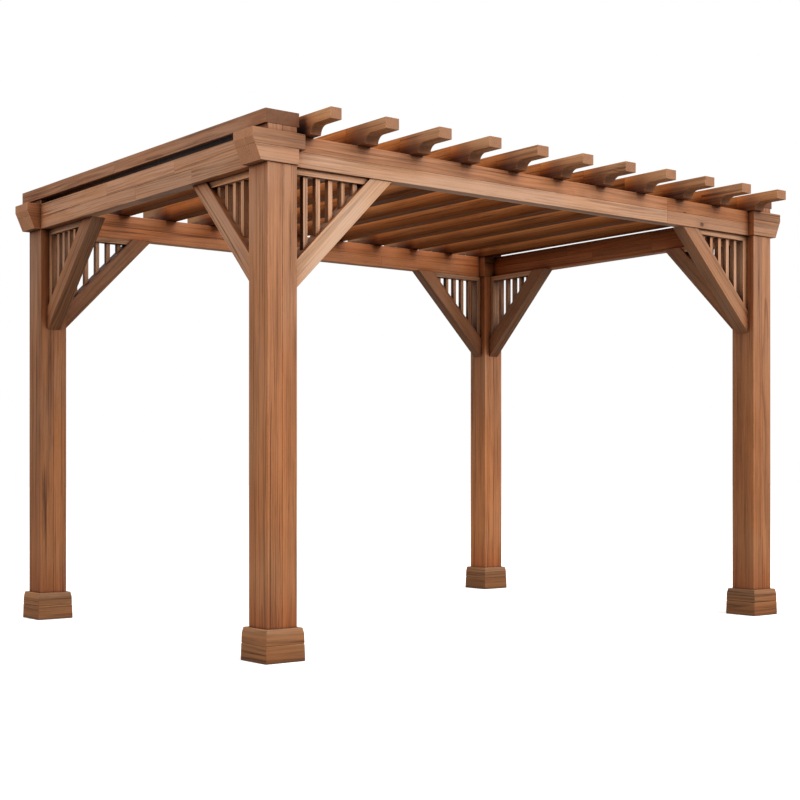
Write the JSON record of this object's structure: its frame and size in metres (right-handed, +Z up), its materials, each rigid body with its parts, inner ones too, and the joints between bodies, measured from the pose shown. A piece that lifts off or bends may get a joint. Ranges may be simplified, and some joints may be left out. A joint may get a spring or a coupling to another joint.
{
  "type": "wooden pergola",
  "caption": "Free-standing stained timber pergola: square posts on plinth collars, a ring of beams with shaped corner blocks, slatted corner braces, cap rails and open rafters with coved ends.",
  "frame": {"origin": "on the ground at the centre of the plan", "axes": "+X along the longer front side towards its right end, +Y from the front to the back, +Z up"},
  "size_m": [3.392, 2.66, 2.263],
  "materials": {
    "post_timber": "straight-grained softwood with a warm brown translucent stain, satin",
    "plinth_timber": "straight-grained softwood with a warm brown translucent stain, satin",
    "block_timber": "straight-grained softwood with a warm brown translucent stain, satin",
    "beam_timber": "straight-grained softwood with a warm brown translucent stain, satin",
    "brace_timber": "straight-grained softwood with a warm brown translucent stain, satin",
    "slat_timber": "straight-grained softwood with a warm brown translucent stain, satin",
    "cap_timber": "straight-grained softwood with a warm brown translucent stain, satin",
    "rafter_timber": "straight-grained softwood with a warm brown translucent stain, satin"
  },
  "bodies": {
    "root": {"front_left_post": "post_timber", "front_right_post": "post_timber", "back_left_post": "post_timber", "back_right_post": "post_timber", "front_left_plinth": "plinth_timber", "front_right_plinth": "plinth_timber", "back_left_plinth": "plinth_timber", "back_right_plinth": "plinth_timber", "front_left_corner_block": "block_timber", "front_right_corner_block": "block_timber", "back_left_corner_block": "block_timber", "back_right_corner_block": "block_timber", "front_beam": "beam_timber", "back_beam": "beam_timber", "left_beam": "beam_timber", "right_beam": "beam_timber", "front_left_long_brace": "brace_timber", "front_left_side_brace": "brace_timber", "front_right_long_brace": "brace_timber", "front_right_side_brace": "brace_timber", "back_left_long_brace": "brace_timber", "back_left_side_brace": "brace_timber", "back_right_long_brace": "brace_timber", "back_right_side_brace": "brace_timber", "front_left_long_slats": "slat_timber", "front_left_side_slats": "slat_timber", "front_right_long_slats": "slat_timber", "front_right_side_slats": "slat_timber", "back_left_long_slats": "slat_timber", "back_left_side_slats": "slat_timber", "back_right_long_slats": "slat_timber", "back_right_side_slats": "slat_timber", "left_cap_rail": "cap_timber", "right_cap_rail": "cap_timber", "rafter_01": "rafter_timber", "rafter_02": "rafter_timber", "rafter_03": "rafter_timber", "rafter_04": "rafter_timber", "rafter_05": "rafter_timber", "rafter_06": "rafter_timber", "rafter_07": "rafter_timber", "rafter_08": "rafter_timber", "rafter_09": "rafter_timber", "rafter_10": "rafter_timber", "rafter_11": "rafter_timber"}
  },
  "joints": []
}
